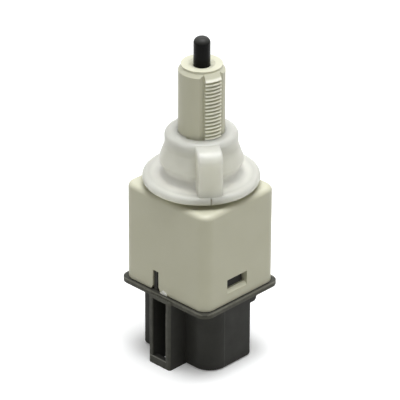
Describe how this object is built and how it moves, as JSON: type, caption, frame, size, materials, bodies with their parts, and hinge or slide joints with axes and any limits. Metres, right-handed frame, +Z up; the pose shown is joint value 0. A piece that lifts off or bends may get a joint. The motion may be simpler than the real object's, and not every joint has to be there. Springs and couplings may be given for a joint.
{
  "type": "brake light switch",
  "caption": "Brake light switch with a square housing, a toothed stem, a spring plunger, a turning bayonet collar and a latched plug socket.",
  "frame": {"origin": "centre of the bounding box on the plane of the plug socket's rim, on the plunger's axis", "axes": "+Z up along the plunger, out of the stem; +X along the row of terminals; -Y towards the plug's latch box"},
  "size_m": [0.0251, 0.0242, 0.0721],
  "materials": {
    "cream_plastic": "satin, moulded",
    "natural_nylon": "milky, slightly translucent",
    "black_plastic": "satin",
    "grey_plastic": "satin, moulded",
    "spring_steel": "drawn wire",
    "copper_strip": "bright strip",
    "terminal_brass": "bright strip",
    "silver_contact": "satin silver"
  },
  "bodies": {
    "switch": {"housing": "cream_plastic", "connector_base": "grey_plastic", "return_spring": "spring_steel", "stop_terminal_left": "terminal_brass", "stop_terminal_right": "terminal_brass", "stop_fixed_contact_left": "silver_contact", "stop_fixed_contact_right": "silver_contact", "cruise_terminal_left": "terminal_brass", "cruise_terminal_right": "terminal_brass", "cruise_fixed_contact_left": "silver_contact", "cruise_fixed_contact_right": "silver_contact"},
    "plunger": {"plunger": "black_plastic", "contact_carrier": "black_plastic", "stop_bridge_spring": "spring_steel", "cruise_bridge_spring": "spring_steel"},
    "stop_bridge": {"stop_lamp_bridge": "copper_strip", "stop_moving_contact_left": "silver_contact", "stop_moving_contact_right": "silver_contact"},
    "cruise_bridge": {"cruise_bridge": "copper_strip", "cruise_moving_contact_left": "silver_contact", "cruise_moving_contact_right": "silver_contact"},
    "collar": {"mounting_collar": "natural_nylon"}
  },
  "joints": [
    {"name": "plunger_push", "type": "slide", "parent": "switch", "child": "plunger", "axis": [0, 0, -1], "range_m": [0, 0.005], "stiffness_N_per_m": 600, "springref_m": -0.005, "deforming": ["return_spring"]},
    {"name": "stop_bridge_float", "type": "slide", "parent": "plunger", "child": "stop_bridge", "axis": [0, 0, -1], "range_m": [0, 0.0008], "stiffness_N_per_m": 200, "springref_m": -0.003, "deforming": ["stop_bridge_spring"]},
    {"name": "cruise_bridge_float", "type": "slide", "parent": "plunger", "child": "cruise_bridge", "axis": [0, 0, 1], "range_m": [0, 0.0008], "stiffness_N_per_m": 200, "springref_m": -0.003, "deforming": ["cruise_bridge_spring"]},
    {"name": "collar_turn", "type": "hinge", "parent": "switch", "child": "collar", "pos_m": [0, 0, 0], "axis": [0, 0, 1], "range_deg": [0, 45]}
  ]
}
